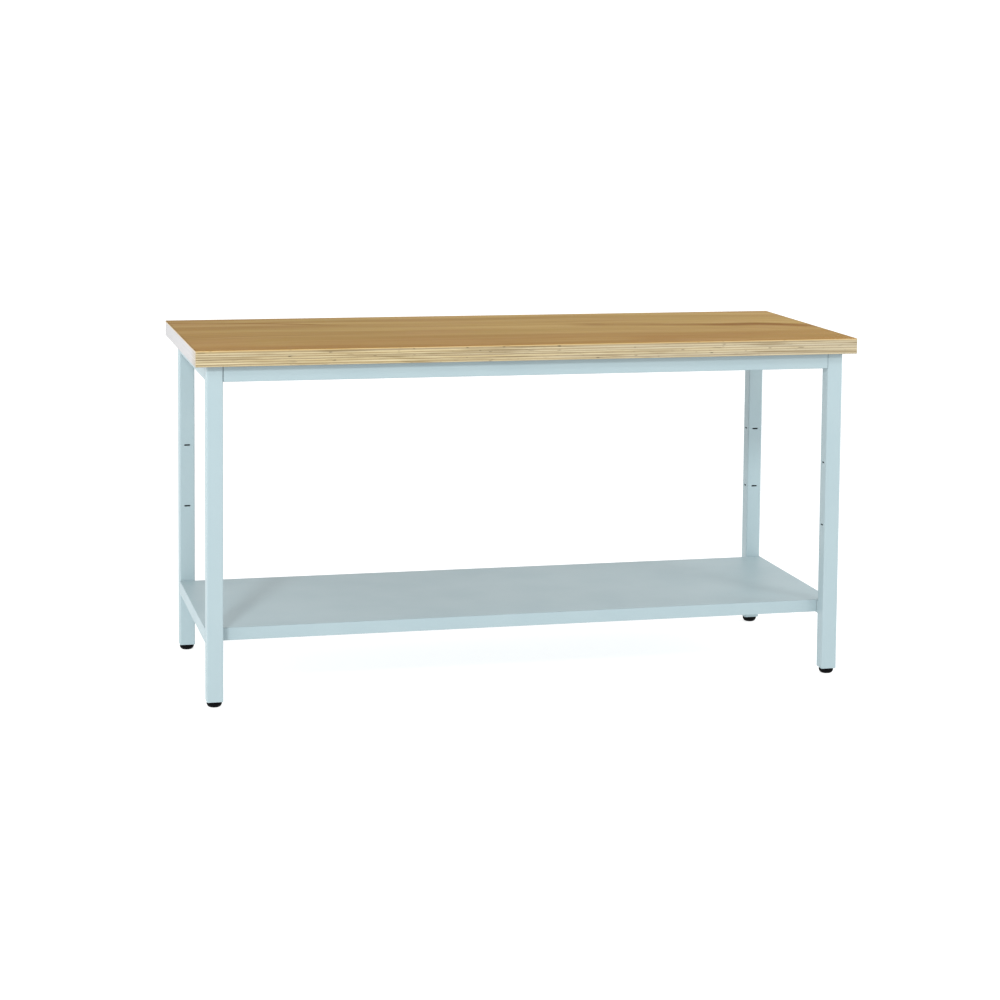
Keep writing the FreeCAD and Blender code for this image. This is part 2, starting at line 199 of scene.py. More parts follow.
class Finish(Graph):
    """A material in the making."""

    def __init__(self, name):
        self.material = bpy.data.materials.new(name)
        self.material.use_nodes = True
        super().__init__(self.material.node_tree)

    def place(self):
        """The x, y and z of a point on the object, in metres."""
        point = self.node("ShaderNodeTexCoord", {}, {}, "Object")
        x = self.node("ShaderNodeSeparateXYZ", {}, {0: point}, "X")
        return x, x.also("Y"), x.also("Z")

    def facing(self):
        """The x, y and z of the surface's own direction."""
        point = self.node("ShaderNodeTexCoord", {}, {}, "Normal")
        x = self.node("ShaderNodeSeparateXYZ", {}, {0: point}, "X")
        return x, x.also("Y"), x.also("Z")

    def noise(self, x, y, z, detail=2.0, roughness=0.5):
        """Cloudy values about 0.5, one cloud to each unit of x, y and z."""
        point = self.node("ShaderNodeCombineXYZ", {}, {0: x, 1: y, 2: z})
        inputs = {"Vector": point, "Scale": 1.0, "Detail": detail, "Roughness": roughness}
        return self.node("ShaderNodeTexNoise", {}, inputs, "Fac")

    def mix(self, share, colour, other):
        """Two colours, blended by a share from 0 to 1."""
        inputs = {0: share, 6: colour, 7: other}
        return self.node("ShaderNodeMix", {"data_type": "RGBA"}, inputs, 2)

    def bump(self, height, depth, strength=1.0):
        """A bumped normal, where height 1 stands depth metres above height 0."""
        inputs = {"Height": height, "Distance": depth, "Strength": strength}
        return self.node("ShaderNodeBump", {}, inputs)

    def surface(self, **inputs):
        """Ends the graph in a Principled shader. Underscores in the names stand for spaces."""
        named = {name.replace("_", " "): value for name, value in inputs.items()}
        shader = self.node("ShaderNodeBsdfPrincipled", {}, named)
        end = self.tree.nodes.new("ShaderNodeOutputMaterial")
        self.tree.links.new(shader.socket, end.inputs["Surface"])
        print("finish", self.material.name, "has", len(self.tree.nodes), "nodes")
        return self.material


def colour(red, green, blue):
    return (red, green, blue, 1.0)


# %% [markdown]
# ## Plywood: the face
#
# The board is softwood plywood under a satin varnish. Its face is one veneer with the grain along
# the table. First come its ground tones: broad bands of straw and honey, a warmer front, and rosy
# and olive patches. Wood is very long in the grain for its width, so every noise is stretched by
# scaling x down hard against y.

# %% The face veneer's tones
STRAW = colour(0.480, 0.328, 0.112)
HONEY = colour(0.336, 0.196, 0.048)
ORANGE = colour(0.315, 0.155, 0.030)
RED_BROWN = colour(0.215, 0.088, 0.006)
RING_LINE = colour(0.206, 0.109, 0.032)
ROSY = colour(0.420, 0.235, 0.095)
OLIVE = colour(0.385, 0.275, 0.075)


def ground_tone(wood, x, y, sweep):
    """The veneer's broad colours."""
    bands = wood.noise(x * 0.5, y * 9.0 + sweep * 3.0, 2.0, detail=3.0)
    patchy = wood.noise(x * 3.5, y * 12.0, 11.0, detail=2.0).ramp(0.25, 0.75)
    front = 1 - (y - x * 0.06).ramp(-0.26, -0.06)
    blush = wood.noise(x * 3.2, y * 7.0, 23.0, detail=2.0).ramp(0.48, 0.72)
    olive = wood.noise(x * 2.7, y * 9.0, 29.0, detail=2.0).ramp(0.50, 0.74)
    honey = bands.ramp(0.34, 0.64) * 0.80 + 0.15 - x * 0.16 - y * 0.30
    tone = wood.mix(honey, STRAW, HONEY)
    tone = wood.mix(front * (patchy * 0.4 + 0.35), tone, ORANGE)
    tone = wood.mix(blush * 0.28, tone, ROSY)
    return wood.mix(olive * 0.30, tone, OLIVE)


# %% [markdown]
# Two dark streaks cross the face: the heartwood's, broad, from the right end, and a fine one at the
# left. A streak's way across the board is drawn as a curve of a few stops, which give its place
# across for places along. Both run from 0 to 1 over the board, and a little noise makes its edges
# ragged.

# %% Dark streaks
HEART_STREAK = (
    (0.62, 0.605), (0.74, 0.590), (0.82, 0.545), (0.88, 0.535), (0.93, 0.555), (1.0, 0.420))
HEART_HALF = 24 * MM
FINE_STREAK = ((0.0, 0.905), (0.10, 0.870), (0.20, 0.780), (0.30, 0.700))
FINE_HALF = 6 * MM
STREAK_CORE, STREAK_EDGE = 0.2, 2.4
board_size = board_high - board_low


def streak(x, y, stops, half, drift):
    """A mask for a dark line that fades out from its core, its middle pushed about by the drift."""
    along = (x - board_low.x) / board_size.x
    centre = along.curve(stops) * board_size.y + board_low.y
    across = abs(y - centre - drift)
    return 1 - across.ramp(half * STREAK_CORE, half * STREAK_EDGE)


def add_streaks(wood, x, y, wander, tone):
    """The veneer's colour with both streaks drawn over it."""
    ragged = wood.noise(x * 4.0, y * 90.0, 13.0) * 0.040 - 0.020 + wander * 0.03
    knots = wood.noise(x * 5.0, y * 6.0, 17.0, detail=1.0).ramp(0.30, 0.62)
    heart = streak(x, y, HEART_STREAK, HEART_HALF, ragged) * x.ramp(0.14, 0.34)
    fine = streak(x, y, FINE_STREAK, FINE_HALF, ragged * 0.4) * (1 - x.ramp(-0.52, -0.36))
    for mask in (heart, fine):
        tone = wood.mix(mask * (knots * 0.50 + 0.50), tone, RED_BROWN)
    return tone


print("the heartwood streak starts", round(HEART_STREAK[0][0] * board_size.x, 2), "m from the left")

# %% [markdown]
# Growth rings are the last tones. Each ring darkens slowly and ends sharply, so its line is crisp on
# one side only. Fine fibre and pores lie over them, and those three also give the face its relief.

# %% The face veneer
RINGS_PER_METRE = 38.0


def face_grain(wood, x, y):
    """The colour and the height of the face veneer."""
    sweep = wood.noise(x * 0.75, y * 2.2, 3.0, detail=1.6) - 0.5
    wander = wood.noise(x * 2.6, y * 4.0, 9.0, detail=1.0) - 0.5
    rings = (y + sweep * 0.20 + wander * 0.012) * RINGS_PER_METRE + sweep * 4.0
    phase = rings % 1.0
    late_wood = phase.ramp(0.25, 0.92) * (1 - phase.ramp(0.93, 1.0))
    strength = wood.noise(x * 0.8, y * 14.0, 7.0).ramp(0.3, 0.7)
    fibre = wood.noise(x * 9.0, y * 620.0, 1.0, detail=3.0, roughness=0.65)
    pores = wood.noise(x * 26.0, y * 1500.0, 5.0, detail=1.0).ramp(0.62, 0.74)
    tone = ground_tone(wood, x, y, sweep)
    tone = wood.mix(late_wood * (strength * 0.34 + 0.12), tone, RING_LINE)
    tone = add_streaks(wood, x, y, wander, tone)
    tone = wood.mix(fibre.ramp(0.45, 0.85) * 0.30, tone, RING_LINE)
    tone = wood.mix(pores * 0.25, tone, RED_BROWN)
    return tone, fibre * 0.6 - late_wood * 0.25 - pores


print("a ring is about", round(1000 / RINGS_PER_METRE), "mm wide")


# %% [markdown]
# ## Plywood: the edges
#
# Its edges tell another story, and the drawing's one solid can't show it. Thirteen plies lie
# crosswise, so at the front every second one shows pale long grain and the others browner end grain,
# and at the ends they swap. A ply's number comes from the height in the board, and whether it is odd
# says which grain it shows. Each ply also comes from its own log, so it has a shade of its own that
# changes along it, and here and there a ply has a small dark gap. The face veneer shows as a golden
# line along the top, and the back veneer is greyer.

# %% The plies' tones
PLY_COUNT = 13
PLY = BOARD / PLY_COUNT
PALE_PLY = colour(0.545, 0.472, 0.300)
WARM_PLY = colour(0.365, 0.268, 0.116)
GREY_PLY = colour(0.420, 0.388, 0.315)
FACE_PLY = colour(0.520, 0.372, 0.172)
END_GRAIN = colour(0.145, 0.097, 0.039)
GLUE = colour(0.096, 0.064, 0.031)
VOID = colour(0.060, 0.048, 0.030)
print("a ply is", round(PLY / MM, 2), "mm thick")


# %% Finding the ply, and its two grains
def ply_at(wood, along, z):
    """The number of the ply at a point, and how far up that ply the point is, from 0 to 1."""
    wave = wood.noise(along * 5.0, z * 60.0, 4.0, detail=3.0) - 0.5
    press = wood.noise(along * 0.9, z * 75.0, 21.0, detail=1.0) - 0.5
    level = (z - board_low.z + wave * 2.6 * MM + press * 7.0 * MM) / PLY
    return level.floor(), level % 1.0


def long_grain(wood, along, z, number, shade):
    """The colour and height of a ply that runs along the edge."""
    fibre = wood.noise(along * 14.0, z * 900.0, number * 3.1, detail=3.0, roughness=0.6)
    slant = wood.noise(along * 5.0, z * 420.0 + along * 9.0, number * 5.3).ramp(0.5, 0.72)
    tone = wood.mix(fibre.ramp(0.4, 0.8) * 0.6 + shade * 0.4, PALE_PLY, WARM_PLY)
    return wood.mix(slant * 0.35, tone, END_GRAIN), fibre


def end_grain(wood, along, z, number, shade):
    """The colour and height of a ply that ends at the edge."""
    cells = wood.noise(along * 950.0, z * 700.0, number * 2.3, detail=2.0, roughness=0.7)
    tone = wood.mix(cells.ramp(0.3, 0.7) * 0.5, END_GRAIN, WARM_PLY)
    return wood.mix(shade * 0.55, tone, WARM_PLY), cells


# %% [markdown]
# An edge is then built up in layers: the grain of each ply, grey and dull patches, the golden face
# veneer and painted shade along the lowest arris, and last the dark things that lie in the wood,
# which are glue lines, small gaps and short dashes.

# %% A whole edge
GLUE_SHARE = 0.055


def edge_grain(wood, along, z, across_first):
    """The colour and height of an edge that runs along one axis. across_first is 1 where the
    outer plies show their end grain."""
    number, within = ply_at(wood, along, z)
    ends = abs(number % 2.0 - across_first)
    shade = wood.noise(along * 3.2, number * 7.7, 12.0, detail=3.0, roughness=0.6).ramp(0.3, 0.7)
    grey = wood.noise(along * 1.6, number * 0.9, 15.0, detail=2.0).ramp(0.35, 0.7)
    dull = wood.noise(along * 4.5, z * 130.0 + along * 2.0, 31.0, detail=2.0).ramp(0.50, 0.68)
    dash = wood.noise(along * 22.0, z * 330.0 + along * 6.0, 35.0, detail=1.0).ramp(0.68, 0.76)
    glue = (1 - within.ramp(0.0, GLUE_SHARE)) + within.ramp(1 - GLUE_SHARE, 1.0)
    gap = wood.noise(along * 30.0, number * 11.0, 6.0, detail=1.0).ramp(0.64, 0.72)
    gap = gap * (ends * 0.4 + 0.6) * within.ramp(0.0, 0.2) * (1 - within.ramp(0.8, 1.0))
    face_ply = (z - board_high.z).ramp(-1.15 * PLY, -0.85 * PLY)
    clear_of_arris_shade = (z - board_low.z).ramp(0.2 * PLY, 0.6 * PLY)
    long_tone, fibre = long_grain(wood, along, z, number, shade)
    end_tone, cells = end_grain(wood, along, z, number, shade)
    tone = wood.mix(ends * (grey * 0.35 + 0.65), long_tone, end_tone)
    tone = wood.mix(grey * 0.3 + along.ramp(-0.5, 0.7) * 0.25, tone, GREY_PLY)
    tone = wood.mix(dull * 0.50, tone, END_GRAIN)
    tone = wood.mix(face_ply * 0.75, tone, FACE_PLY)
    # Painted shade: the lowest arris is darkened halfway towards end grain, standing in for the
    # shadow above the apron.
    tone = wood.mix(0.5 - clear_of_arris_shade * 0.5, tone, END_GRAIN)
    tone = wood.mix(glue * 0.6, tone, GLUE)
    tone = wood.mix(gap * 0.9 + dash * 0.55, tone, VOID)
    return tone, cells * ends * 0.6 + fibre * (1 - ends) * 0.3 - glue * 0.3 - gap * 4.0


# %% [markdown]
# The surface's own direction says which of these tones a place takes. What faces up or down is
# veneer, and the rest is edge. The two ends are painted almost white, a painted glare for the strong
# light on them, except for the golden line along their top. The face is a little darker where it
# meets an end.

# %% The plywood material
# Near white for the ends' painted glare, which stands in for strong light on them.
GLARE_WHITE = colour(0.455, 0.462, 0.486)
BACK_VENEER = colour(0.260, 0.265, 0.255)


def make_plywood():
    wood = Finish("satin_plywood")
    x, y, z = wood.place()
    nx, _, nz = wood.facing()
    on_face = abs(nz).ramp(0.45, 0.55)
    on_end = abs(nx).ramp(0.45, 0.55)
    face_tone, face_height = face_grain(wood, x, y)
    end_arris = (abs(x) - board_high.x).ramp(-5.0 * MM, -1.5 * MM)
    face_tone = wood.mix(end_arris * 0.5, face_tone, END_GRAIN)
    face_tone = wood.mix(0.8 - nz.ramp(-0.5, 0.5) * 0.8, face_tone, BACK_VENEER)
    long_tone, long_height = edge_grain(wood, x, z, 0.0)
    end_tone, end_height = edge_grain(wood, y, z, 1.0)
    top_ply = (z - board_high.z).ramp(-1.2 * PLY, -0.6 * PLY)
    # Painted glare: the ends are mixed towards near white, most away from the front, sparing the
    # golden top line.
    painted_glare = y.ramp(-0.36, -0.24) * (0.40 - top_ply * 0.70) + 0.46
    end_tone = wood.mix(painted_glare, end_tone, GLARE_WHITE)
    tone = wood.mix(on_end, long_tone, end_tone)
    tone = wood.mix(on_face, tone, face_tone)
    edge_height = long_height * (1 - on_end) + end_height * on_end
    height = edge_height * (1 - on_face) + face_height * on_face
    return wood.surface(
        Base_Color=tone,
        Roughness=0.60 - on_face * 0.05,
        Specular_IOR_Level=0.03,
        Normal=wood.bump(height, 0.12 * MM, 0.6),
    )


PLYWOOD = make_plywood()

# %% [markdown]
# ## Powder coat
#
# Powder is sprayed on dry and baked until it flows. It keeps a faint orange peel, with bumps about
# 2 mm apart and some hundredths of a millimetre high, and its gloss varies a little with the
# thickness of the coat. The colour is a pale blue-grey. The charged powder doesn't reach into a
# tube, so the legs' bores are bare steel, and there the colour is nearly black, bare steel with
# painted shade, so that their slots look black.

# %% The powder coat material
COAT = colour(0.329, 0.419, 0.446)
COAT_DEEP = colour(0.309, 0.401, 0.431)
# Bare steel darkened to nearly black with painted shade, also on the slots' cut walls, so the slots
# read black.
BARE_STEEL_AND_SHADE = colour(0.014, 0.018, 0.020)
BARE_AND_SHADED_HALF = TUBE / 2 - 1.5 * MM


def inside_a_leg(x, y):
    """1 within the bore of any of the four legs."""
    leg = middle("front_right_leg")
    return (abs(abs(x) - leg.x) < BARE_AND_SHADED_HALF) * (abs(abs(y) + leg.y) < BARE_AND_SHADED_HALF)


def make_powder_coat():
    paint = Finish("blue_grey_powder_coat")
    x, y, z = paint.place()
    bore = inside_a_leg(x, y)
    cloud = paint.noise(x * 7.0, y * 7.0, z * 7.0, detail=3.0)
    peel = paint.noise(x * 520.0, y * 520.0, z * 520.0, detail=2.0, roughness=0.45)
    speck = paint.noise(x * 2600.0, y * 2600.0, z * 2600.0, detail=1.0)
    tone = paint.mix(cloud.ramp(0.3, 0.7) * 0.6 + peel * 0.25, COAT, COAT_DEEP)
    return paint.surface(
        # Inside the bores the colour is bare steel plus painted shade.
        Base_Color=paint.mix(bore, tone, BARE_STEEL_AND_SHADE),
        Roughness=0.40 + cloud * 0.10,
        Specular_IOR_Level=0.40,
        Normal=paint.bump(peel + speck * 0.15, 0.05 * MM, 0.5),
    )


POWDER_COAT = make_powder_coat()

# %% [markdown]
# ## Zinc and black nylon
#
# The fasteners are bright zinc: metal with a soft, cloudy gloss. The feet and inserts are moulded
# black nylon, and their surface is the mould's fine spark erosion, so they are never quite smooth.

# %% The fasteners' and feet's materials
def make_zinc():
    metal = Finish("bright_zinc")
    x, y, z = metal.place()
    cloud = metal.noise(x * 240.0, y * 240.0, z * 240.0, detail=3.0)
    brushed = metal.noise(x * 2200.0, y * 2200.0, z * 350.0, detail=2.0)
    return metal.surface(
        Base_Color=metal.mix(cloud, colour(0.62, 0.63, 0.64), colour(0.74, 0.74, 0.72)),
        Metallic=1.0,
        Roughness=0.24 + cloud * 0.18,
        Normal=metal.bump(brushed, 0.02 * MM, 0.4),
    )


def make_nylon():
    nylon = Finish("black_nylon")
    x, y, z = nylon.place()
    grain = nylon.noise(x * 1900.0, y * 1900.0, z * 1900.0, detail=2.0, roughness=0.6)
    scuff = nylon.noise(x * 160.0, y * 160.0, z * 60.0, detail=3.0)
    return nylon.surface(
        Base_Color=nylon.mix(scuff, colour(0.002, 0.002, 0.002), colour(0.005, 0.005, 0.006)),
        Roughness=0.42 + scuff * 0.16,
        Specular_IOR_Level=0.03,
        Normal=nylon.bump(grain, 0.05 * MM, 0.5),
    )


FINISHES = {
    "plywood": PLYWOOD,
    "powder_coat": POWDER_COAT,
    "zinc_steel": make_zinc(),
    "black_plastic": make_nylon(),
}

# %% [markdown]
# ## Dressing the steel and wood
#
# The record says which finish each node takes, so a loop can dress them all. Their meshes stay just
# as the drawing made them, and only the material changes.

# %% Give every node its finish
for part in frame["record"]["subparts"]:
    node = frame["nodes"][part["node"]]
    node.data.materials.clear()
    node.data.materials.append(FINISHES[part["material_slot"]])

# %% [markdown]
# ## Weld beads
#
# Each rail is welded to its legs. A weld is a row of frozen puddles, so it is modelled as a rod
# whose rings swell and narrow: a small disc is extruded one step at a time, and each step is scaled
# up or down in turn. One bead is made, and copies of it are laid in each corner under a rail and up
# each inner seam.

# %% One rippled bead
BEAD_RADIUS = 2.3 * MM
BEAD_RIPPLES = 17
BEAD_NARROW = 0.84
BEAD_TIP = 0.7
BEAD_SIDES = 12
BEAD_LENGTH = TUBE - 8 * MM


def deselect_all():
    bpy.ops.object.select_all(action="DESELECT")


def make_bead():
    """A bead along +Z, centred on the origin."""
    deselect_all()
    start = BEAD_RADIUS * BEAD_NARROW * BEAD_TIP
    bpy.ops.mesh.primitive_circle_add(
        vertices=BEAD_SIDES, radius=start, fill_type="NGON", location=(0, 0, -BEAD_LENGTH / 2))
    bead = bpy.context.object
    bpy.ops.object.transform_apply()
    bpy.ops.object.mode_set(mode="EDIT")
    bpy.ops.mesh.select_all(action="SELECT")
    steps = 2 * BEAD_RIPPLES
    rise = BEAD_LENGTH / steps
    for step in range(steps):
        bpy.ops.mesh.extrude_region_move(TRANSFORM_OT_translate={"value": (0, 0, rise)})
        grow = BEAD_NARROW if step % 2 else 1 / BEAD_NARROW
        if step == 0:
            grow = grow / BEAD_TIP
        if step == steps - 1:
            grow = grow * BEAD_TIP
        height = -BEAD_LENGTH / 2 + (step + 1) * BEAD_LENGTH / steps
        bpy.ops.transform.resize(value=(grow, grow, 1), center_override=(0, 0, height))
    bpy.ops.mesh.select_all(action="SELECT")
    bpy.ops.mesh.normals_make_consistent(inside=False)
    bpy.ops.object.mode_set(mode="OBJECT")
    bpy.ops.object.shade_smooth()
    return bead


bead = make_bead()
print("one bead has", len(bead.data.polygons), "faces")


# %% Copying, joining and settling a piece
def copy_of(piece, place, turn=(0, 0, 0), scale=(1, 1, 1)):
    """A copy with its own mesh, set in place."""
    twin = piece.copy()
    twin.data = piece.data.copy()
    bpy.context.scene.collection.objects.link(twin)
    twin.rotation_euler = turn
    twin.scale = scale
    twin.location = place
    return twin


def only(*pieces):
    """Makes these the selected objects, and the last of them the active one."""
    deselect_all()
    for piece in pieces:
        piece.select_set(True)
        bpy.context.view_layer.objects.active = piece


def joined(pieces):
    """One object made of several, with its place put into its mesh."""
    only(*pieces)
    if len(pieces) > 1:
        bpy.ops.object.join()
    bpy.ops.object.transform_apply(location=True, rotation=True, scale=True)
    return bpy.context.object


def settle(pieces, name, slot, body):
    """Joins and names a finished piece, dresses it, and lets it ride on a body."""
    piece = joined(pieces)
    piece.name = name
    piece.data.name = name
    piece.data.materials.clear()
    piece.data.materials.append(FINISHES[slot])
    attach(piece, body)
    print(name, "has", len(piece.data.polygons), "faces and rides on", body)
    return piece


# %% [markdown]
# Under a rail the bead lies across the tube, along X. In the seam between a rail's inner side and the
# leg it stands upright, and it is flattened there, so that it is a low line on the steel.

# %% Lay the beads
ALONG_X = (0, math.pi / 2, 0)
FLATTENED = (0.55, 1.15, 1)
for side, sign in SIDES.items():
    laid = []
    for rail in ("_top_rail", "_lower_rail"):
        low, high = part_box(side + rail)
        seam_x = low.x if sign > 0 else high.x
        for y in (low.y, high.y):
            laid.append(copy_of(bead, (middle(side + rail).x, y, low.z), ALONG_X))
            height = middle(side + rail).z
            laid.append(copy_of(bead, (seam_x, y, height), scale=FLATTENED))
    settle(laid, side + "_weld_beads", "powder_coat", "frame")
bpy.data.objects.remove(bead)

# %% [markdown]
# ## Threads
#
# A thread is a triangle carried round a rod while it climbs by its pitch, which is just what the
# Screw modifier does. The drawing has plain cylinders, because a real thread would slow it down, so
# the studs and bolts are modelled afresh here and take the drawing's place in the picture. Sixty
# degrees between the flanks makes the ridge an equilateral triangle.

# %% A turned length
ROUND_SIDES = 32
RIM_ANGLE = math.radians(40)


def turned(radius, bottom, top, rim, foot=1.0):
    """A round length along Z with broken rims, its lower end narrowed to a share of its width."""
    deselect_all()
    bpy.ops.mesh.primitive_cylinder_add(
        vertices=ROUND_SIDES, radius=radius, depth=top - bottom, location=(0, 0, (top + bottom) / 2))
    piece = bpy.context.object
    bpy.ops.object.transform_apply(location=True, rotation=True, scale=True)
    bpy.ops.object.mode_set(mode="EDIT")
    bpy.ops.mesh.select_all(action="DESELECT")
    bpy.ops.object.mode_set(mode="OBJECT")
    for face in piece.data.polygons:
        face.select = face.normal.z < -0.9
    bpy.ops.object.mode_set(mode="EDIT")
    bpy.ops.transform.resize(value=(foot, foot, 1), center_override=(0, 0, bottom))
    bpy.ops.object.mode_set(mode="OBJECT")
    broken = piece.modifiers.new("rims", "BEVEL")
    broken.width = rim
    broken.segments = 2
    broken.limit_method = "ANGLE"
    broken.angle_limit = RIM_ANGLE
    bpy.ops.object.modifier_apply(modifier="rims")
    return piece


# %% A threaded rod
STEPS_PER_TURN = 20
RIDGE_SHARE = 0.9


def threaded_rod(radius, pitch, bottom, top):
    """A rod along Z with a helical ridge, closed at both ends."""
    side = RIDGE_SHARE * pitch
    reach = side / math.sqrt(3)
    core = radius - 1.2 * reach
    rod = turned(core, bottom, top, pitch / 4)
    upright = Matrix(((0, 1, 0), (0, 0, 1), (1, 0, 0))).to_euler()
    ridge_at = (radius - reach, 0, bottom + pitch / 2)
    deselect_all()
    bpy.ops.mesh.primitive_circle_add(vertices=3, radius=reach, fill_type="NOTHING",
                                      location=ridge_at, rotation=upright)
    ridge = bpy.context.object
    bpy.ops.object.transform_apply(location=True, rotation=True, scale=True)
    screw = ridge.modifiers.new("thread", "SCREW")
    screw.axis = "Z"
    screw.screw_offset = pitch
    screw.iterations = int((top - bottom - pitch) / pitch)
    screw.steps = STEPS_PER_TURN
    screw.render_steps = STEPS_PER_TURN
    bpy.ops.object.modifier_apply(modifier="thread")
    bpy.ops.object.mode_set(mode="EDIT")
    bpy.ops.mesh.select_all(action="SELECT")
    bpy.ops.mesh.fill_holes(sides=3)
    bpy.ops.mesh.select_all(action="SELECT")
    bpy.ops.mesh.normals_make_consistent(inside=False)
    bpy.ops.object.mode_set(mode="OBJECT")
    return [rod, ridge]


# %% [markdown]
# A hexagon head is a six-sided prism whose corners are turned off by a lathe. Cutting the prism with
# a cone gives the same curved chamfer.

# %% A hexagon with turned-off corners
CHAMFER_SHARE = 0.95
CHAMFER_SLOPE = math.tan(math.radians(30))
CONE_SIDES = 48


def hexagon(across, bottom, top, chamfer_bottom, chamfer_top):
    """A hexagon along Z by its width across flats, with a turned chamfer at either end."""
    corner = across / math.sqrt(3)
    height = top - bottom
    deselect_all()
    bpy.ops.mesh.primitive_cylinder_add(
        vertices=6, radius=corner, depth=height, location=(0, 0, (top + bottom) / 2))
    prism = bpy.context.object
    for end, chamfered in ((1, chamfer_top), (-1, chamfer_bottom)):
        if not chamfered:
            continue
        small = CHAMFER_SHARE * across / 2
        drop = (corner - small) * CHAMFER_SLOPE
        depth = 2 * height
        wide = small + depth / CHAMFER_SLOPE
        low_radius, high_radius = (wide, small) if end > 0 else (small, wide)
        tip = top if end > 0 else bottom
        deselect_all()
        bpy.ops.mesh.primitive_cone_add(
            vertices=CONE_SIDES, radius1=low_radius, radius2=high_radius,
            depth=depth, location=(0, 0, tip - end * depth / 2))
        cone = bpy.context.object
        only(prism)
        cut = prism.modifiers.new("chamfer", "BOOLEAN")
        cut.operation = "INTERSECT"
        cut.solver = "EXACT"
        cut.object = cone
        bpy.ops.object.modifier_apply(modifier="chamfer")
        bpy.data.objects.remove(cone)
        print("chamfer drops", round(drop / MM, 2), "mm at the corners")
    return prism


# %% [markdown]
# A levelling stud is four lengths on one axis: the thread, the hexagon collar that a spanner grips
# under the leg, a neck, and a button that is caught in the pad. The feet repeat, but each stud is
# measured from its own node.

# %% The levelling studs
STUD_RADIUS, STUD_PITCH = 5 * MM, 1.5 * MM
COLLAR_ACROSS, COLLAR_HEIGHT = 17 * MM, 5 * MM
NECK_RADIUS = 4 * MM
BUTTON_RADIUS, BUTTON_HEIGHT = 5.5 * MM, 3 * MM
RIM = 0.4 * MM
SMOOTH_BELOW = math.radians(35)


def one_piece(pieces):
    """Joins the lengths of a turned piece, and smooths their round sides."""
    piece = joined(pieces)
    bpy.ops.object.shade_smooth_by_angle(angle=SMOOTH_BELOW)
    return piece


for corner in CORNERS:
    node = corner + "_foot_stud"
    low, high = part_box(node)
    leg_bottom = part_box(corner + "_leg")[0].z
    collar_top = leg_bottom + COLLAR_HEIGHT
    pieces = threaded_rod(STUD_RADIUS, STUD_PITCH, collar_top - RIM, high.z)
    pieces.append(hexagon(COLLAR_ACROSS, leg_bottom, collar_top, True, True))
    pieces.append(turned(NECK_RADIUS, low.z + RIM, leg_bottom + RIM, RIM))
    pieces.append(turned(BUTTON_RADIUS, low.z, low.z + BUTTON_HEIGHT, RIM))
    stud = one_piece(pieces)
    foot = middle(node)
    stud.location = (foot.x, foot.y, 0)
    settle([stud], corner + "_threaded_stud", "zinc_steel", corner + "_stud")
    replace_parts(stud, node)

# %% [markdown]
# The bolts of the aprons and the shelf have a flange forged onto the head, which spreads the load
# like a washer. It is a flat cone: a short round length whose lower face is scaled in. A bolt stands
# at every corner of its group's box, so the box and the flange's radius give all the places.

# %% The flanged bolts
BOLT_RADIUS, BOLT_PITCH = 3 * MM, 1 * MM
BOLT_ACROSS, BOLT_HEAD = 10 * MM, 5 * MM
FLANGE_RADIUS, FLANGE = 7 * MM, 1.2 * MM
FLANGE_FOOT = 0.80


def flanged_bolt(length):
    """A bolt along +Z whose flange bears on the plane through the origin."""
    pieces = threaded_rod(BOLT_RADIUS, BOLT_PITCH, -FLANGE / 2, length)
    pieces.append(turned(FLANGE_RADIUS, -FLANGE, 0, RIM / 2, FLANGE_FOOT))
    pieces.append(hexagon(BOLT_ACROSS, -BOLT_HEAD, -FLANGE / 2, True, False))
    return one_piece(pieces)


low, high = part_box("shelf_bolts")
bolt = flanged_bolt(high.z - low.z - BOLT_HEAD)
laid = []
for x in (low.x + FLANGE_RADIUS, high.x - FLANGE_RADIUS):
    for y in (low.y + FLANGE_RADIUS, high.y - FLANGE_RADIUS):
        laid.append(copy_of(bolt, (x, y, low.z + BOLT_HEAD)))
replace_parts(settle(laid, "shelf_flanged_bolts", "zinc_steel", "frame"), "shelf_bolts")
bpy.data.objects.remove(bolt)

low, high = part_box("apron_bolts")
bearing = -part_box("front_left_apron_end_plate")[1].x
bolt = flanged_bolt(high.x - bearing)
laid = []
for sign in SIDES.values():
    for y in (low.y + FLANGE_RADIUS, high.y - FLANGE_RADIUS):
        for z in (low.z + FLANGE_RADIUS, high.z - FLANGE_RADIUS):
            laid.append(copy_of(bolt, (sign * bearing, y, z), (0, sign * math.pi / 2, 0)))
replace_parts(settle(laid, "apron_flanged_bolts", "zinc_steel", "frame"), "apron_bolts")
bpy.data.objects.remove(bolt)

# %% [markdown]
# ## Floor, light and camera
#
# The studio is a white room with a slightly darker ceiling. Its walls and sky already light
# everything evenly, and the floor is a light table: a white acrylic sheet, lit from below, which
# drowns nearly all of the shadows on it.

# %% Floor
FLOOR_GLOW = 0.78
FLOOR_SIZE = 9.0


def make_floor():
    acrylic = Finish("pale_floor")
    x, y, z = acrylic.place()
    cloud = acrylic.noise(x * 1.5, y * 1.5, z)
    material = acrylic.surface(
        Base_Color=acrylic.mix(cloud, colour(0.40, 0.40, 0.40), colour(0.43, 0.43, 0.43)),
        Roughness=0.9,
        Specular_IOR_Level=0.1,
        Emission_Color=colour(1, 1, 1),
        Emission_Strength=FLOOR_GLOW,
    )
    deselect_all()
    bpy.ops.mesh.primitive_plane_add(size=FLOOR_SIZE)
    floor = bpy.context.object
    floor.name = "floor"
    floor.data.materials.append(material)
    floor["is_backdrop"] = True


make_floor()

# %% White room
CEILING = 0.67
WALLS = 1.20


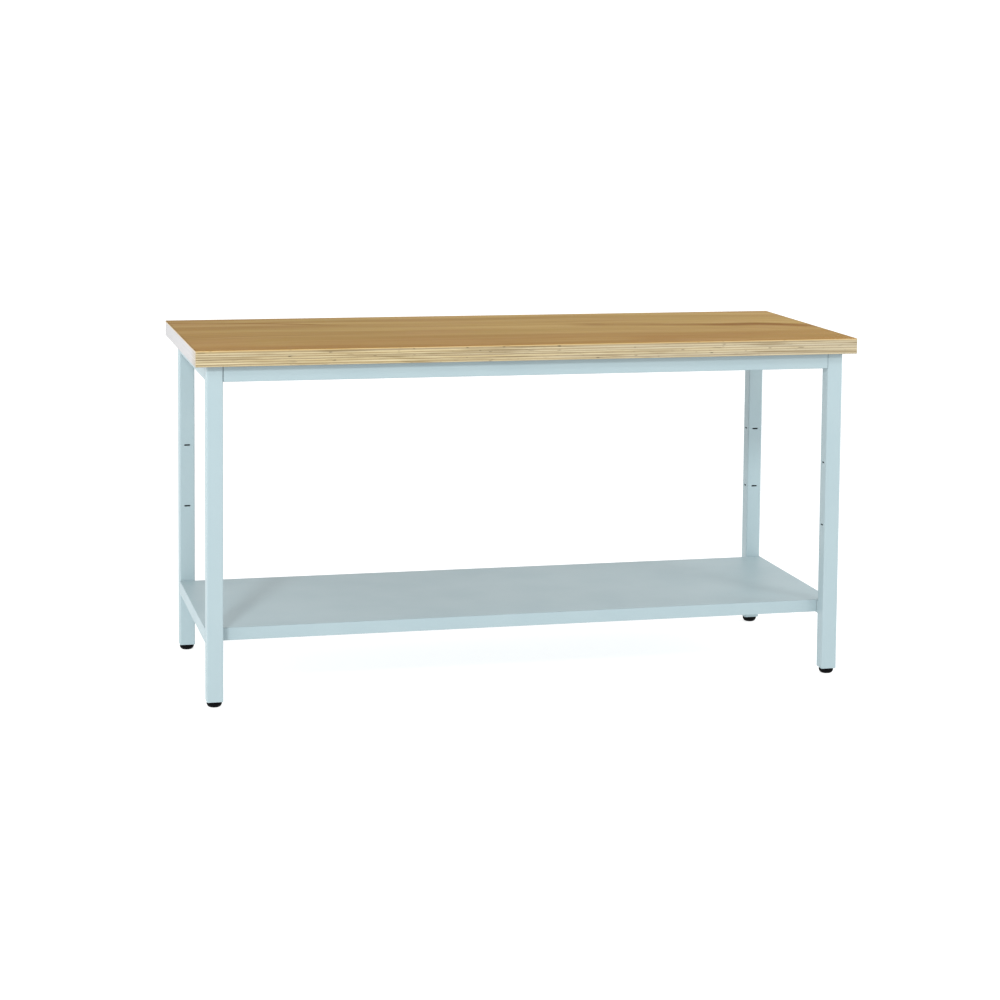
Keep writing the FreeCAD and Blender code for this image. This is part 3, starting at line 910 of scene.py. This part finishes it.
def make_room():
    world = bpy.data.worlds.new("white_room")
    world.use_nodes = True
    room = Graph(world.node_tree)
    way = room.node("ShaderNodeTexCoord", {}, {}, "Generated")
    height = room.node("ShaderNodeSeparateXYZ", {}, {0: way}, "Z")
    strength = CEILING + (WALLS - CEILING) * (1 - height.ramp(0.15, 0.60))
    sky = room.node("ShaderNodeBackground", {}, {"Color": colour(1, 1, 1), "Strength": strength})
    end = room.tree.nodes.new("ShaderNodeOutputWorld")
    room.tree.links.new(sky.socket, end.inputs["Surface"])
    bpy.context.scene.world = world
    bpy.context.scene.view_settings.view_transform = "Standard"


make_room()

# %% [markdown]
# Four soft boxes shape the light. The main one stands far off at the front left, and it is small
# for its distance, so its shadows keep fairly crisp edges. A weaker one at the front right draws the
# shadows of the right leg on the shelf and of the board on the apron. One close to each end
# brightens what faces it.

# %% Soft boxes
LIGHT_AIM = Vector((0, 0, 0.5))


def soft_box(name, azimuth, elevation, distance, size, power):
    """A square area light. Azimuth 0 stands in front of the table and 90 at its right."""
    turn, lift = math.radians(azimuth), math.radians(elevation)
    flat = math.cos(lift)
    way = Vector((math.sin(turn) * flat, -math.cos(turn) * flat, math.sin(lift)))
    data = bpy.data.lights.new(name, "AREA")
    data.size = size
    data.energy = power
    lamp = bpy.data.objects.new(name, data)
    lamp.location = LIGHT_AIM + way * distance
    lamp.rotation_euler = way.to_track_quat("Z", "Y").to_euler()
    bpy.context.scene.collection.objects.link(lamp)
    print(name, "stands at", [round(value, 2) for value in lamp.location])


soft_box("main_soft_box", -29, 26, 6.5, 0.7, 190.0)
soft_box("right_soft_box", 42, 38, 3.4, 0.5, 16.0)
soft_box("left_end_soft_box", -85, 15, 2.6, 1.2, 16.0)
soft_box("right_end_soft_box", 82, 20, 2.6, 1.2, 21.0)

# %% [markdown]
# The camera stands at the front left, not quite twice as high as the board, and looks down only a
# little. A shift of the lens brings the table into the picture, where more tilt would make the legs
# lean.

# %% Camera
CAMERA_PLACE = (-1.5197, -6.2770, 1.5994)
CAMERA_TILT, CAMERA_ROLL, CAMERA_TURN = 84.841, -0.649, -14.817
SENSOR = 36.0
FOCAL_IN_PIXELS = 2472.9
PICTURE = 1000.0
CENTRE_COLUMN, CENTRE_ROW = 560.0, 280.0

camera_data = bpy.data.cameras.new("camera")
camera_data.sensor_width = SENSOR
camera_data.lens = FOCAL_IN_PIXELS * SENSOR / PICTURE
camera_data.shift_x = 0.5 - CENTRE_COLUMN / PICTURE
camera_data.shift_y = CENTRE_ROW / PICTURE - 0.5
camera = bpy.data.objects.new("camera", camera_data)
camera.location = CAMERA_PLACE
camera.rotation_euler = [math.radians(angle) for angle in (CAMERA_TILT, CAMERA_ROLL, CAMERA_TURN)]
bpy.context.scene.collection.objects.link(camera)
bpy.context.scene.camera = camera
print("lens", round(camera_data.lens, 1), "mm")

# %% [markdown]
# Last, the box around everything that is shown is measured, with the floor left out. The
# finished table may not outgrow the drawing.

# %% Measure the finished table's box
low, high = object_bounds()
